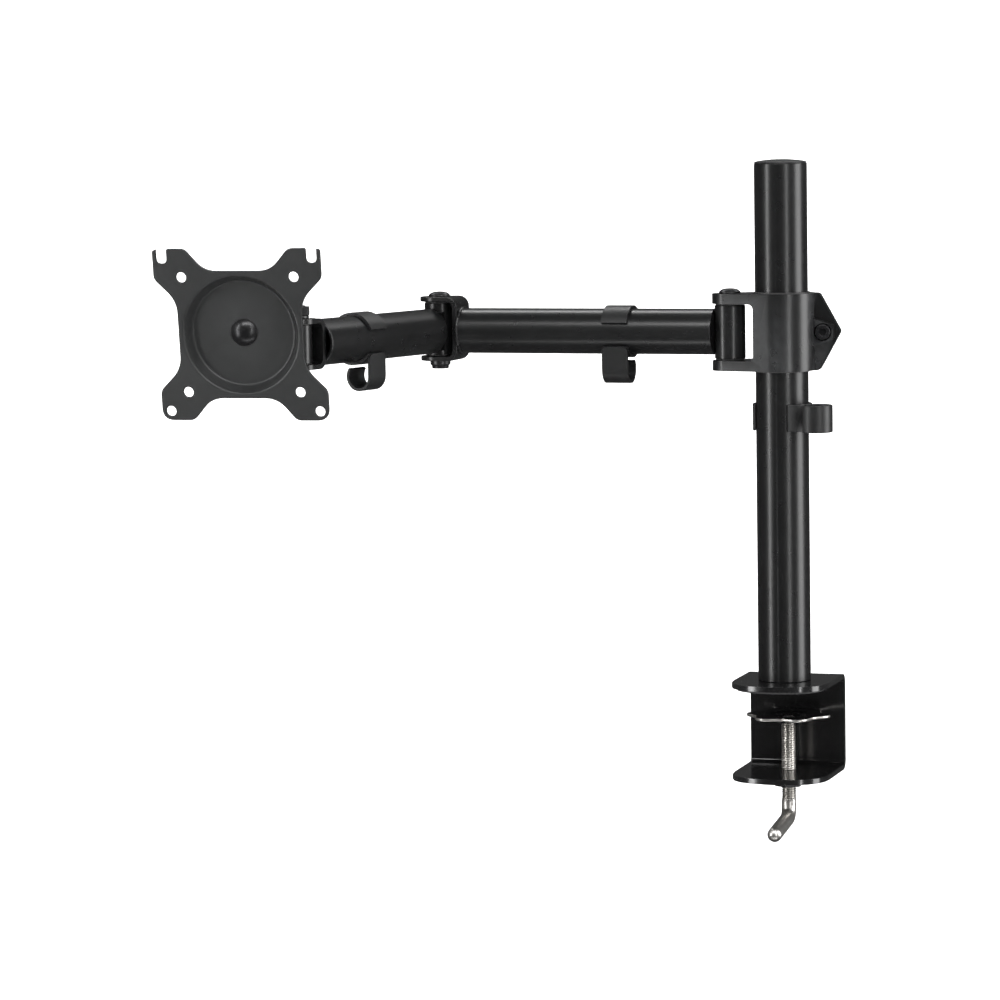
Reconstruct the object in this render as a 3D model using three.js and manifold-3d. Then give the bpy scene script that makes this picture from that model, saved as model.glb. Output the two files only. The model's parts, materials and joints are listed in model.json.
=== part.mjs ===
// Desk-clamped monitor arm: C clamp, round pole, sliding collar, two swing arms and a
// four-way screen head. Millimetres, +Z up. The origin is on the pole axis at the
// underside of the desk pad, where the clamp rests on the desk top. The clamp opens
// towards -Y, which is the side the user sits at.
import * as THREE from 'three';
import { mergeVertices } from 'three/addons/utils/BufferGeometryUtils.js';
import Module from 'manifold-3d';

const wasm = await Module();
wasm.setup();

const deg = Math.PI / 180;
const gap = 0.3; // running or weld gap between neighbouring pieces

// ---- driving dimensions -------------------------------------------------------------
const clamp = {
  sheet: 3.5, width: 65, back: 39, front: 39, cornerR: 26, bow: 3, bend: 6.5,
  inside: 58, padT: 1.5, screwY: 9.5, pinHoleR: 5.3,
};
const pole = { r: 17.5, wall: 1.8, length: 343, footT: 8, screwCircle: 9 };
const collar = {
  z: 237.1, height: 51, boreR: 19.3, outerR: 22.8, heading: 187.5,
  hingeX: 34.3, earR: 11.8, earT: 6.7, windowX: 17.2, split: 1.25,
  flangeT: 4, flangeX: 25.5, flangeTip: 39.5, bossT: 5.2, bossX: 28,
};
const arm = { r: 15.25, wall: 1.6, barrelR: 10.2, bossGap: 0.6 };
const arm1 = { length: 205.2, heading: 177.8, clipX: 76 };
const arm2 = { length: 162, heading: 254.2, clipX: 95, tubeX: 13.2 };
const elbow = { sheet: 3.3, top: 23.1, bottom: -20.3, width: 26, web: 16.8, bend: 7 };
const fork = { sheet: 3.3, top: 16.5, bottom: -16.5, width: 22, web: 14, bend: 7 };
const head = {
  heading: 273.5, barrelR: 8, barrelH: 24.8, washerT: 0.5,
  tiltX: 12.3, tiltY: -28.2, tiltZ: 11.6, tiltR: 7, tiltLength: 19, earT: 2.5,
  plateX: 25.4, plateTilt: 8, backing: 1.6,
};
const plate = {
  sheet: 2.5, body: 41.5, tip: 56, armIn: 22, armOut: 35, outerHole: 50, innerHole: 37.5,
  holeR: 3.4, slotR: 3.5, dishOuterR: 38.6, dishInnerR: 34.3, dishDepth: 8, cornerR: 8,
};
const clip = { width: 18, sheet: 1.9, poleDrop: 56.4, poleHeading: 17.5 };
const press = { rimZ: -19.5, sheet: 2, tipR: 28.6, valleyR: 23, dishR: 14, dishDepth: 3.5 };
const jack = { r: 4.95, bendZ: -89, bendR: 9, handle: 60, heading: 273.5, drop: 3 };

const plateTop = clamp.padT + clamp.sheet;
const plateLow = clamp.padT - clamp.inside;

// ---- materials ----------------------------------------------------------------------
function finish(color, roughness, metalness) {
  return new THREE.MeshStandardMaterial({ color, roughness, metalness });
}
const satinBlack = finish(0x1b1c1d, 0.42, 0.0);
const glossBlack = finish(0x121213, 0.18, 0.0);
const blackPlastic = finish(0x1e1f20, 0.55, 0.0);
const nylon = finish(0x2a2a2b, 0.5, 0.0);
const foam = finish(0x232324, 0.95, 0.0);
const blackZinc = finish(0x1a1b1c, 0.35, 0.8);
const steel = finish(0xb9b6b1, 0.3, 1.0);

// ---- solid helpers ------------------------------------------------------------------
function solid(geometry) {
  const bare = geometry.index ? geometry.toNonIndexed() : geometry.clone();
  bare.deleteAttribute('normal');
  bare.deleteAttribute('uv');
  const merged = mergeVertices(bare, 1e-4);
  return new wasm.Manifold(new wasm.Mesh({
    numProp: 3,
    vertProperties: new Float32Array(merged.attributes.position.array),
    triVerts: new Uint32Array(merged.index.array),
  }));
}

function geometryOf(body) {
  const mesh = body.getMesh();
  const geometry = new THREE.BufferGeometry();
  geometry.setAttribute('position', new THREE.BufferAttribute(mesh.vertProperties, 3));
  geometry.setIndex(new THREE.BufferAttribute(mesh.triVerts, 1));
  return geometry;
}

function join(...bodies) {
  return bodies.reduce((sum, body) => sum.add(body));
}

function cut(body, ...tools) {
  return tools.reduce((rest, tool) => rest.subtract(tool), body);
}

function extrude(shape, z0, z1, curveSegments = 5) {
  const geometry = new THREE.ExtrudeGeometry(shape, {
    depth: z1 - z0, bevelEnabled: false, curveSegments,
  });
  return geometry.translate(0, 0, z0);
}

// A ring or disc about Z from [radius, z] pairs. The profile is closed on itself and
// taken counter-clockwise, so that its faces point outwards.
function turned(points, segments = 32) {
  const corners = points.map(([r, z]) => new THREE.Vector2(r, z));
  if (THREE.ShapeUtils.area(corners) < 0) {
    corners.reverse();
  }
  return new THREE.LatheGeometry([...corners, corners[0]], segments).rotateX(Math.PI / 2);
}

function tube(inner, outer, z0, z1, segments = 32) {
  return turned([[inner, z0], [outer, z0], [outer, z1], [inner, z1]], segments);
}

// A solid round bar about Z.
function bar(r, z0, z1, segments = 24) {
  return new THREE.CylinderGeometry(r, r, z1 - z0, segments)
    .rotateX(Math.PI / 2)
    .translate(0, 0, (z0 + z1) / 2);
}

function block(x0, x1, y0, y1, z0, z1) {
  return new THREE.BoxGeometry(x1 - x0, y1 - y0, z1 - z0)
    .translate((x0 + x1) / 2, (y0 + y1) / 2, (z0 + z1) / 2);
}

// A hexagon across-flats af, from z0 to z1 about Z, with a bore of radius hole.
function hexRing(af, hole, z0, z1) {
  const outer = solid(bar(af / 2 / Math.cos(30 * deg), z0, z1, 6));
  return cut(outer, solid(bar(hole, z0 - 1, z1 + 1, 24)));
}

// A closed outline through points, each corner rounded with its own radius.
function roundedOutline(corners) {
  const shape = new THREE.Shape();
  const count = corners.length;
  corners.forEach(([x, y, r], i) => {
    const here = new THREE.Vector2(x, y);
    const before = new THREE.Vector2(...corners[(i + count - 1) % count].slice(0, 2));
    const after = new THREE.Vector2(...corners[(i + 1) % count].slice(0, 2));
    const back = before.sub(here).normalize();
    const ahead = after.sub(here).normalize();
    const half = Math.acos(THREE.MathUtils.clamp(back.dot(ahead), -1, 1)) / 2;
    const reach = r / Math.tan(half);
    const start = here.clone().addScaledVector(back, reach);
    const end = here.clone().addScaledVector(ahead, reach);
    if (i === 0) {
      shape.moveTo(start.x, start.y);
    } else {
      shape.lineTo(start.x, start.y);
    }
    if (r > 0) {
      const middle = back.clone().add(ahead).normalize();
      const centre = here.clone().addScaledVector(middle, r / Math.sin(half));
      const from = Math.atan2(start.y - centre.y, start.x - centre.x);
      const to = Math.atan2(end.y - centre.y, end.x - centre.x);
      const clockwise = back.cross(ahead) > 0;
      shape.absarc(centre.x, centre.y, r, from, to, clockwise);
    }
  });
  shape.closePath();
  return shape;
}

// A flat ring sector from angle a0 counter-clockwise to a1, in degrees.
function sector(inner, outer, a0, a1, cx = 0, cy = 0) {
  const shape = new THREE.Shape();
  shape.absarc(cx, cy, outer, a0 * deg, a1 * deg, false);
  shape.absarc(cx, cy, inner, a1 * deg, a0 * deg, true);
  shape.closePath();
  return shape;
}

function named(name, body, material) {
  const mesh = new THREE.Mesh(geometryOf(body), material);
  mesh.name = name;
  return mesh;
}

function placed(parent, x, y, z, headingDeg = 0) {
  const group = new THREE.Group();
  group.position.set(x, y, z);
  group.rotation.z = headingDeg * deg;
  parent.add(group);
  return group;
}

// ---- clamp --------------------------------------------------------------------------
function clampPlan(inset) {
  const side = clamp.width / 2 - inset;
  const back = clamp.back + (inset > 0 ? -inset - clamp.bend : 1);
  const front = -clamp.front + inset;
  const radius = clamp.cornerR - inset;
  const shape = new THREE.Shape();
  shape.moveTo(side, back);
  shape.lineTo(-side, back);
  shape.lineTo(-side, front + clamp.bow + radius);
  shape.quadraticCurveTo(-side, front + clamp.bow, -side + radius, front + clamp.bow / 4);
  shape.quadraticCurveTo(0, front - clamp.bow / 4, side - radius, front + clamp.bow / 4);
  shape.quadraticCurveTo(side, front + clamp.bow, side, front + clamp.bow + radius);
  shape.closePath();
  return shape;
}

// The bent sheet's side view in (y, z), extruded along X, then trimmed to its plan.
function clampBracket() {
  const t = clamp.sheet;
  const low = plateLow - t;
  const r = clamp.bend;
  const profile = roundedOutline([
    [-clamp.front - 2, plateTop, 0], [-clamp.front - 2, plateTop - t, 0],
    [clamp.back - t, plateTop - t, r - t], [clamp.back - t, plateLow, r - t],
    [-clamp.front - 2, plateLow, 0], [-clamp.front - 2, low, 0],
    [clamp.back, low, r], [clamp.back, plateTop, r],
  ]);
  const strip = solid(extrude(profile, -clamp.width / 2, clamp.width / 2)
    .rotateX(Math.PI / 2)
    .rotateZ(Math.PI / 2));
  const trimmed = strip.intersect(solid(extrude(clampPlan(0), low - 1, plateTop + 1)));
  const screwHole = solid(bar(clamp.pinHoleR, low - 1, plateLow + 1)
    .translate(0, clamp.screwY, 0));
  const countersinks = poleScrewSpots().map(([x, y]) => solid(
    turned([[0, clamp.padT - 1], [6.4, clamp.padT - 1], [6.4, clamp.padT],
      [3.4, clamp.padT + 3], [3.4, plateTop + 1], [0, plateTop + 1]], 24).translate(x, y, 0)));
  return cut(trimmed, screwHole, ...countersinks);
}

function poleScrewSpots() {
  return [0, 1, 2].map((i) => {
    const angle = (90 + 120 * i) * deg;
    return [pole.screwCircle * Math.cos(angle), pole.screwCircle * Math.sin(angle)];
  });
}

function poleScrew() {
  const top = plateTop + pole.footT - 0.5;
  return solid(turned([[0, clamp.padT + 0.1], [5.9, clamp.padT + 0.1], [3, clamp.padT + 2.9],
    [3, top], [0, top]], 24));
}

function deskPad() {
  return solid(extrude(clampPlan(3), 0, clamp.padT - 0.1));
}

function clampNut() {
  const top = plateLow - clamp.sheet - 0.1;
  return hexRing(17, clamp.pinHoleR, top - 8, top).translate([0, clamp.screwY, 0]);
}

// ---- pole ---------------------------------------------------------------------------
function poleTube() {
  const base = plateTop + 0.1;
  return solid(tube(pole.r - pole.wall, pole.r, base, base + pole.length, 48));
}

function poleFoot() {
  const base = plateTop + 0.1;
  const disc = solid(bar(pole.r - pole.wall - gap, base, base + pole.footT, 48));
  const holes = poleScrewSpots().map(([x, y]) => solid(bar(3.3, base - 1, base + 9, 16)
    .translate(x, y, 0)));
  return cut(disc, ...holes);
}

function poleCap() {
  const rim = plateTop + 0.1 + pole.length + 0.1;
  const skirt = pole.r - pole.wall - gap;
  return solid(turned([[0, rim + 2.6], [10, rim + 2.1], [pole.r - 0.5, rim + 0.9], [pole.r, rim],
    [skirt, rim], [skirt, rim - 12], [skirt - 2, rim - 12], [skirt - 2, rim - 0.5],
    [0, rim - 0.5]], 40));
}

// A cable clip for the pole: an open band with a cable ring on its outer side.
function poleClip() {
  const inner = pole.r + gap;
  const outer = inner + clip.sheet;
  const ringIn = 9;
  const ringOut = ringIn + clip.sheet + 0.1;
  const reach = outer + ringIn + 1;
  const angle = -46;
  const cx = reach * Math.cos(angle * deg);
  const cy = reach * Math.sin(angle * deg);
  const half = clip.width / 2;
  const band = solid(extrude(sector(inner, outer, -84, 185), -half, half, 14));
  const ring = solid(extrude(sector(ringIn, ringOut, 210, 180 + angle + 360, cx, cy),
    -half, half, 10));
  return join(band, ring);
}

// A cable clip for an arm tube, drawn in (y, z) and extruded along the tube: an open band,
// a flat tab on the +Y side and an open hook below it.
function armClip() {
  const inner = arm.r + gap;
  const outer = inner + clip.sheet;
  const tabIn = 12.7;
  const tabOut = tabIn + clip.sheet;
  const hookOut = 9.6;
  const hookY = tabOut - hookOut;
  const hookZ = -24.8;
  const half = clip.width / 2;
  const band = solid(extrude(sector(inner, outer, 22, 323), -half, half, 14));
  const hook = solid(extrude(sector(hookOut - clip.sheet, hookOut, 145, 360, hookY, hookZ),
    -half, half, 9));
  const tabPlan = roundedOutline([[-half, -9.6, 4], [-half, hookZ - 0.1, 0],
    [half, hookZ - 0.1, 0], [half, -9.6, 4]]);
  const tab = solid(extrude(tabPlan, tabIn, tabOut, 4).rotateX(Math.PI / 2)
    .rotateZ(Math.PI));
  const stood = join(band, hook).rotate([90, 0, 90]);
  return stood.add(tab);
}

// ---- collar -------------------------------------------------------------------------
function collarBody() {
  const half = collar.height / 2;
  const { outerR, boreR, hingeX, earR, windowX, earT, split } = collar;
  const lean = Math.asin((outerR - earR) / hingeX);
  const hull = new THREE.Shape();
  hull.absarc(0, 0, outerR, Math.PI / 2 - lean, -Math.PI / 2 + lean, false);
  hull.absarc(hingeX, 0, earR, -Math.PI / 2 + lean, Math.PI / 2 - lean, false);
  hull.closePath();
  const window = solid(extrude(roundedOutline([[windowX, -half + earT, 3.5],
    [hingeX + 20, -half + earT, 0], [hingeX + 20, half - earT, 0],
    [windowX, half - earT, 3.5]]), -30, 30, 4).rotateX(Math.PI / 2));
  const bore = solid(bar(boreR, -half - 1, half + 1, 48));
  const pinHole = solid(bar(4.4, -half - 1, half + 1, 24).translate(hingeX, 0, 0));
  const nutPocket = solid(bar(8, -half - 1, -half + 4, 6).translate(hingeX, 0, 0));
  const flanges = collarFlange(split, split + collar.flangeT)
    .add(collarFlange(-split - collar.flangeT, -split));
  const shell = join(solid(extrude(hull, -half, half, 12)), flanges, collarBoss());
  const slit = solid(block(-collar.flangeTip - 2, -boreR + 2, -split, split, -half - 1, half + 1));
  const screwHole = solid(bar(3.4, -20, 20, 20).rotateX(Math.PI / 2)
    .translate(-collar.bossX, 0, 0));
  const counterbore = solid(bar(5.9, -30, -4.4, 32).rotateX(Math.PI / 2)
    .translate(-collar.bossX, 0, 0));
  return cut(shell, window, bore, pinHole, nutPocket, slit, screwHole, counterbore);
}

// One five-sided clamping flange standing out from the ring, opposite the hinge.
function collarFlange(y0, y1) {
  const half = collar.height / 2;
  const shape = roundedOutline([[-collar.outerR + 4, -half, 0], [-collar.outerR + 4, half, 0],
    [-collar.flangeX, half, 3], [-collar.flangeTip, 0, 2.5], [-collar.flangeX, -half, 3]]);
  return solid(extrude(shape, -y1, -y0, 4).rotateX(Math.PI / 2));
}

// The raised boss on the front flange that the clamp screw's head sinks into.
function collarBoss() {
  const y0 = collar.split + collar.flangeT - 0.5;
  const shape = roundedOutline([[-collar.outerR + 4, -9.3, 0], [-collar.outerR + 4, 9.3, 0],
    [-22, 9.3, 1.5], [-35.2, 5.2, 2], [-35.2, -5.2, 2], [-22, -9.3, 1.5]]);
  return solid(extrude(shape, -y0 - collar.bossT, -y0, 4).rotateX(Math.PI / 2));
}

function collarLiner() {
  const half = collar.height / 2 + 0.8;
  const ring = solid(tube(pole.r + gap, collar.boreR - gap, -half, half, 48));
  return cut(ring, solid(block(-25, -10, -1, 1, -half - 1, half + 1)));
}

function clampScrew() {
  const headSeat = 4.7;
  return solid(turned([[0, -12], [2.9, -12], [2.9, headSeat], [5, headSeat], [5, headSeat + 5.4],
    [2.6, headSeat + 5.4], [2.6, headSeat + 2.6], [0, headSeat + 2.6]], 24)
    .rotateX(-Math.PI / 2));
}

function clampScrewNut() {
  const face = collar.split + collar.flangeT + 0.1;
  return hexRing(10, 3.2, -face - 5, -face).rotate([-90, 0, 0]);
}

// ---- arms ---------------------------------------------------------------------------
// A vertical hinge barrel; a flanged bush sits in each end.
function barrel(z0, z1) {
  return solid(tube(6.6, arm.barrelR, z0, z1, 28));
}

// The elbow barrel has a neck, so that the arm can fold square past its bracket.
function neckedBarrel(z0, z1) {
  const neck = solid(block(6, arm2.tubeX - gap, -8, 8, -13, 13));
  return cut(join(barrel(z0, z1), neck), solid(bar(6.6, z0 - 1, z1 + 1, 28)));
}

function flangedBush(z, up) {
  const s = up ? 1 : -1;
  return solid(turned([[4.5, z], [9.6, z], [9.6, z - 0.6 * s], [6.3, z - 0.6 * s],
    [6.3, z - 9 * s], [4.5, z - 9 * s]], 20));
}

// Pivot bolt with a low domed head on top, threaded end below.
function pivotBolt(headZ, endZ) {
  return solid(turned([[0, endZ], [4, endZ], [4, headZ], [7.4, headZ], [7.2, headZ + 1.1],
    [5.6, headZ + 2.4], [3, headZ + 3.1], [0, headZ + 3.3]], 20));
}

// Round-collared lock nut: a wide flange with a smaller crown under it.
function lockNut(topZ) {
  return solid(turned([[4.3, topZ - 5.4], [5.6, topZ - 5.4], [5.9, topZ - 3.2],
    [6.9, topZ - 2.6], [6.9, topZ], [4.3, topZ]], 20));
}

function lyingTube(x0, x1) {
  const inner = arm.r - arm.wall;
  const profile = [[0, x0], [arm.r, x0], [arm.r, x1], [inner, x1], [inner, x0 + 2], [0, x0 + 2]];
  return solid(turned(profile, 36).rotateY(Math.PI / 2));
}

function armTube(x0, x1) {
  return cut(lyingTube(x0, x1), solid(bar(arm.barrelR + gap, -30, 30, 24)));
}

// A bent C bracket whose web is towards +X; its two ears carry a vertical pivot at the origin.
function cBracket({ sheet: t, top, bottom, web, bend, width }) {
  const reach = -width / 2 - 2;
  const profile = roundedOutline([[reach, top, 0], [web, top, bend], [web, bottom, bend],
    [reach, bottom, 0], [reach, bottom + t, 0], [web - t, bottom + t, bend - t],
    [web - t, top - t, bend - t], [reach, top - t, 0]]);
  const strip = solid(extrude(profile, -width / 2, width / 2, 4).rotateX(Math.PI / 2));
  const plan = new THREE.Shape();
  plan.moveTo(web + 1, -width / 2);
  plan.lineTo(web + 1, width / 2);
  plan.lineTo(0, width / 2);
  plan.absarc(0, 0, width / 2, Math.PI / 2, 1.5 * Math.PI, false);
  plan.closePath();
  const trimmed = strip.intersect(solid(extrude(plan, bottom - 1, top + 1, 10)));
  return cut(trimmed, solid(bar(4.4, bottom - 1, top + 1, 20)));
}

// ---- screen head --------------------------------------------------------------------
function panWasher(side) {
  const z = side * (head.barrelH / 2 + 0.1 + head.washerT / 2);
  return solid(tube(4.4, 7.4, z - head.washerT / 2, z + head.washerT / 2, 24));
}

function panBolt() {
  return solid(turned([[0, fork.bottom - 3.2], [5, fork.bottom - 2.8], [6.5, fork.bottom - 0.1],
    [4, fork.bottom - 0.1], [4, fork.top + 8.6], [0, fork.top + 8.6]], 20));
}

// Plain washer, then a hexagon nut, on the upper ear of the fork.
function panNutWasher() {
  return solid(tube(4.3, 6.4, fork.top + 0.1, fork.top + 1.9, 20));
}

function panNut() {
  return hexRing(13, 4.2, fork.top + 2, fork.top + 7.8);
}

// Swivel: a barrel in the fork, an arm that steps sideways behind the screen plate and a
// cross barrel for the tilt bolt. +X faces the screen.
function headSwivel() {
  const { barrelR, barrelH, tiltX, tiltY, tiltZ, tiltR, tiltLength } = head;
  const outer = tiltY - tiltLength / 2 + 1;
  const inner = tiltY + tiltLength / 2 - 0.5;
  const upright = solid(bar(barrelR, -barrelH / 2, barrelH / 2, 28));
  const sideArm = solid(extrude(roundedOutline([[-6, 3, 1], [-6, outer, 4], [tiltX, outer, 0],
    [tiltX, inner, 0], [2.6, inner, 0], [2.6, -7, 2], [5.5, 3, 1]]), -2, 9.5, 3));
  const cross = solid(bar(tiltR, -tiltLength / 2, tiltLength / 2, 28)
    .rotateX(Math.PI / 2).translate(tiltX, tiltY, tiltZ));
  const tiltHole = solid(bar(4.3, -20, 20, 20).rotateX(Math.PI / 2)
    .translate(tiltX, tiltY, tiltZ));
  return cut(join(upright, sideArm, cross), tiltHole, solid(bar(4.3, -20, 20, 20)));
}

// Tilt bracket: a round base behind the screen plate with two ears around the tilt barrel.
// It is drawn about the tilt axis, with the screen plate towards +X.
function tiltBracket() {
  const earY = head.tiltLength / 2 + 1.1;
  const t = head.earT;
  const faceX = head.plateX - plate.dishDepth - plate.sheet - head.backing;
  const ear = new THREE.Shape();
  ear.absarc(0, 0, 8.5, Math.PI / 2, -Math.PI / 2, false);
  ear.lineTo(faceX - 1, -13);
  ear.lineTo(faceX - 1, 13);
  ear.closePath();
  const ears = [earY, -earY - t].map((y) => solid(
    extrude(ear, -y - t, -y, 8).rotateX(Math.PI / 2)));
  const base = solid(bar(20, faceX - t, faceX, 32).rotateY(Math.PI / 2));
  const bolt = solid(bar(4.4, -30, 30, 24).rotateX(Math.PI / 2));
  const rivetHole = solid(bar(4.3, faceX - 10, faceX + 2, 24).rotateY(Math.PI / 2));
  return cut(join(...ears, base), bolt, rivetHole);
}

function tiltWasher(side) {
  const y = side * (head.tiltLength / 2 + 0.55);
  return solid(tube(4.4, 7.5, -0.4, 0.4, 28).rotateX(Math.PI / 2).translate(0, y, 0));
}

function tiltBolt() {
  const seat = head.tiltLength / 2 + 1.1 + head.earT + 0.1;
  return solid(turned([[0, -seat - 7], [4, -seat - 7], [4, seat], [6.5, seat], [5.9, seat + 2],
    [0, seat + 3]], 20).rotateX(-Math.PI / 2));
}

function tiltNut() {
  const seat = head.tiltLength / 2 + 1.1 + head.earT + 0.1;
  return hexRing(13, 4.2, -seat - 6.2, -seat).rotate([-90, 0, 0]);
}

// The screen plate's outline in (y, z), from one quadrant's corners.
function plateOutline() {
  const { body, tip, armIn, armOut, cornerR } = plate;
  const lower = [[body, -armIn, 8], [tip, -armOut - 1.5, 3], [tip, -tip, cornerR],
    [armOut - 0.5, -tip, 3], [armIn, -body, 8]];
  const upper = [[armIn, body, 8], [armOut - 0.5, tip, 3], [tip - 1, tip, 0.6],
    [tip, tip - 4, 1.5], [tip, armOut + 1.5, 3], [body, armIn, 8]];
  const mirror = ([y, z, r]) => [-y, z, r];
  return roundedOutline([...lower, ...[...lower].reverse().map(mirror),
    ...[...upper].reverse().map(mirror), ...upper]);
}

function screenPlate() {
  const { sheet: t, dishOuterR, dishInnerR, dishDepth, outerHole, innerHole } = plate;
  const sheet = solid(extrude(plateOutline(), -t, 0, 2));
  const deep = -dishDepth - t;
  const hump = solid(turned([[0, deep], [dishInnerR + 0.4, deep], [dishOuterR + 1.4, 0.5 - t],
    [0, 0.5 - t]], 44));
  const hollow = solid(turned([[0, -dishDepth], [dishInnerR, -dishDepth],
    [dishOuterR + 0.5, 1], [0, 1]], 44));
  const pivotHole = solid(bar(4.4, deep - 1, 1, 20));
  const holes = [];
  for (const sy of [-1, 1]) {
    for (const sz of [-1, 1]) {
      holes.push([sy * innerHole, sz * innerHole]);
    }
    holes.push([sy * outerHole, -outerHole]);
  }
  const drills = holes.map(([y, z]) => solid(bar(plate.holeR, -t - 1, 1, 16).translate(y, z, 0)));
  const slots = [-1, 1].flatMap((s) => [
    solid(bar(plate.slotR, -t - 1, 1, 16).translate(s * outerHole, outerHole, 0)),
    solid(block(s * outerHole - plate.slotR, s * outerHole + plate.slotR,
      outerHole, outerHole + 10, -t - 1, 1)),
  ]);
  return cut(join(sheet, hump), hollow, pivotHole, ...drills, ...slots);
}

function pivotWasher() {
  return solid(tube(4.4, 15, -0.5, 0.5, 40));
}

// The centre pivot: domed head in the dish, shank through both plates, peened tail.
function pivotRivet() {
  const face = -plate.dishDepth;
  const tail = -plate.dishDepth - plate.sheet - head.backing - head.earT;
  return solid(turned([[0, tail - 2.2], [5, tail - 1.6], [5.6, tail - 0.1], [4, tail - 0.1],
    [4, face + 0.1], [9, face + 0.1], [8.6, face + 1], [6.6, face + 2.9], [3.6, face + 4.1],
    [0, face + 4.5]], 20));
}

// ---- clamp screw --------------------------------------------------------------------
function pressurePlate() {
  const { rimZ, sheet: t, tipR, valleyR, dishR, dishDepth } = press;
  const shape = new THREE.Shape();
  const steps = 48;
  const mid = (tipR + valleyR) / 2;
  const swing = (tipR - valleyR) / 2;
  for (let i = 0; i < steps; i += 1) {
    const a = (i / steps) * 2 * Math.PI;
    const r = mid - swing * Math.cos(6 * (a - Math.PI / 2));
    const x = r * Math.cos(a);
    const y = r * Math.sin(a);
    if (i === 0) {
      shape.moveTo(x, y);
    } else {
      shape.lineTo(x, y);
    }
  }
  shape.closePath();
  const star = cut(solid(extrude(shape, rimZ - t, rimZ)), solid(bar(dishR - 1, rimZ - 9, rimZ + 1)));
  const floor = rimZ - dishDepth;
  const dish = solid(turned([[3.8, floor - t], [9.5, floor - t], [dishR - 0.5, rimZ - t],
    [dishR + 0.5, rimZ - t], [dishR + 0.5, rimZ], [dishR - 0.5, rimZ], [9.5, floor], [3.8, floor]],
  28));
  return join(star, dish);
}

// The jack screw: threaded shank, swivel neck through the pressure plate, bent L handle.
function jackScrew() {
  const shoulder = press.rimZ - press.dishDepth - press.sheet - gap;
  const { r, bendZ, bendR, handle, drop } = jack;
  const section = new THREE.Shape();
  section.absarc(0, 0, r, 0, 2 * Math.PI, false);
  const slope = drop / handle;
  const out = new THREE.Vector3(1, 0, -slope).normalize();
  const corner = new THREE.Vector3(0, 0, bendZ);
  const start = new THREE.Vector3(0, 0, bendZ + bendR);
  const turn = corner.clone().addScaledVector(out, bendR);
  const tip = corner.clone().addScaledVector(out, handle - r);
  const path = new THREE.CurvePath();
  path.add(new THREE.QuadraticBezierCurve3(start, corner, turn));
  path.add(new THREE.LineCurve3(turn, tip));
  const bent = solid(new THREE.ExtrudeGeometry(section, {
    steps: 10, extrudePath: path, curveSegments: 8, bevelEnabled: false,
  }));
  const shank = solid(bar(r, bendZ + bendR - 0.4, shoulder, 24));
  const ball = solid(new THREE.SphereGeometry(r, 16, 8).translate(tip.x, tip.y, tip.z));
  const floor = press.rimZ - press.dishDepth;
  const neck = solid(turned([[0, shoulder - 1], [3.4, shoulder - 1], [3.4, floor + gap],
    [5, floor + gap], [4.2, floor + 1.6], [0, floor + 2.2]], 24));
  return join(bent, shank, ball, neck);
}

// ---- assembly -----------------------------------------------------------------------
const part = new THREE.Group();

function addClamp() {
  part.add(named('clamp_bracket', clampBracket(), glossBlack));
  part.add(named('desk_pad', deskPad(), foam));
  part.add(named('clamp_nut', clampNut(), blackZinc));
  part.add(named('pole_tube', poleTube(), satinBlack));
  part.add(named('pole_foot', poleFoot(), satinBlack));
  poleScrewSpots().forEach(([x, y], i) => {
    const screw = named(`pole_screw_${i + 1}`, poleScrew(), steel);
    screw.position.set(x, y, 0);
    part.add(screw);
  });
  part.add(named('pole_cap', poleCap(), blackPlastic));
  const clipPlace = placed(part, 0, 0, collar.z - clip.poleDrop, clip.poleHeading);
  clipPlace.add(named('pole_cable_clip', poleClip(), blackPlastic));
  const jackPlace = placed(part, 0, clamp.screwY, 0);
  jackPlace.add(named('pressure_plate', pressurePlate(), glossBlack));
  const screwPlace = placed(jackPlace, 0, 0, 0, jack.heading);
  screwPlace.add(named('jack_screw', jackScrew(), steel));
}

function addCollar() {
  const group = placed(part, 0, 0, collar.z, collar.heading);
  group.add(named('collar_liner', collarLiner(), nylon));
  group.add(named('collar', collarBody(), satinBlack));
  const screw = named('collar_clamp_screw', clampScrew(), blackZinc);
  screw.position.x = -collar.bossX;
  const nut = named('collar_clamp_nut', clampScrewNut(), blackZinc);
  nut.position.x = -collar.bossX;
  group.add(screw, nut);
  const ear = collar.height / 2;
  const pivot = placed(group, collar.hingeX, 0, 0);
  pivot.add(named('arm1_pivot_bolt', pivotBolt(ear + 0.1, -ear + 0.4), blackZinc));
  pivot.add(named('arm1_pivot_nut', hexRing(13, 4.2, -ear + 0.2, -ear + 3.7), blackZinc));
  return placed(group, collar.hingeX, 0, 0, arm1.heading - collar.heading);
}

function addArm1(group) {
  const earInside = collar.height / 2 - collar.earT;
  const top = earInside - gap - 0.8;
  group.add(named('arm1_barrel', barrel(-top, top), satinBlack));
  group.add(named('arm1_bush_upper', flangedBush(top + 0.8, true), nylon));
  group.add(named('arm1_bush_lower', flangedBush(-top - 0.8, false), nylon));
  const tubeEnd = arm1.length - elbow.web - gap;
  group.add(named('arm1_tube', armTube(9.6, tubeEnd), satinBlack));
  const clipMesh = named('arm1_cable_clip', armClip(), blackPlastic);
  clipMesh.position.x = arm1.clipX;
  group.add(clipMesh);
  const bracketPlace = placed(group, arm1.length, 0, 0, 180);
  bracketPlace.add(named('elbow_bracket', cBracket(elbow), satinBlack));
  return placed(group, arm1.length, 0, 0, arm2.heading - arm1.heading);
}

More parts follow.
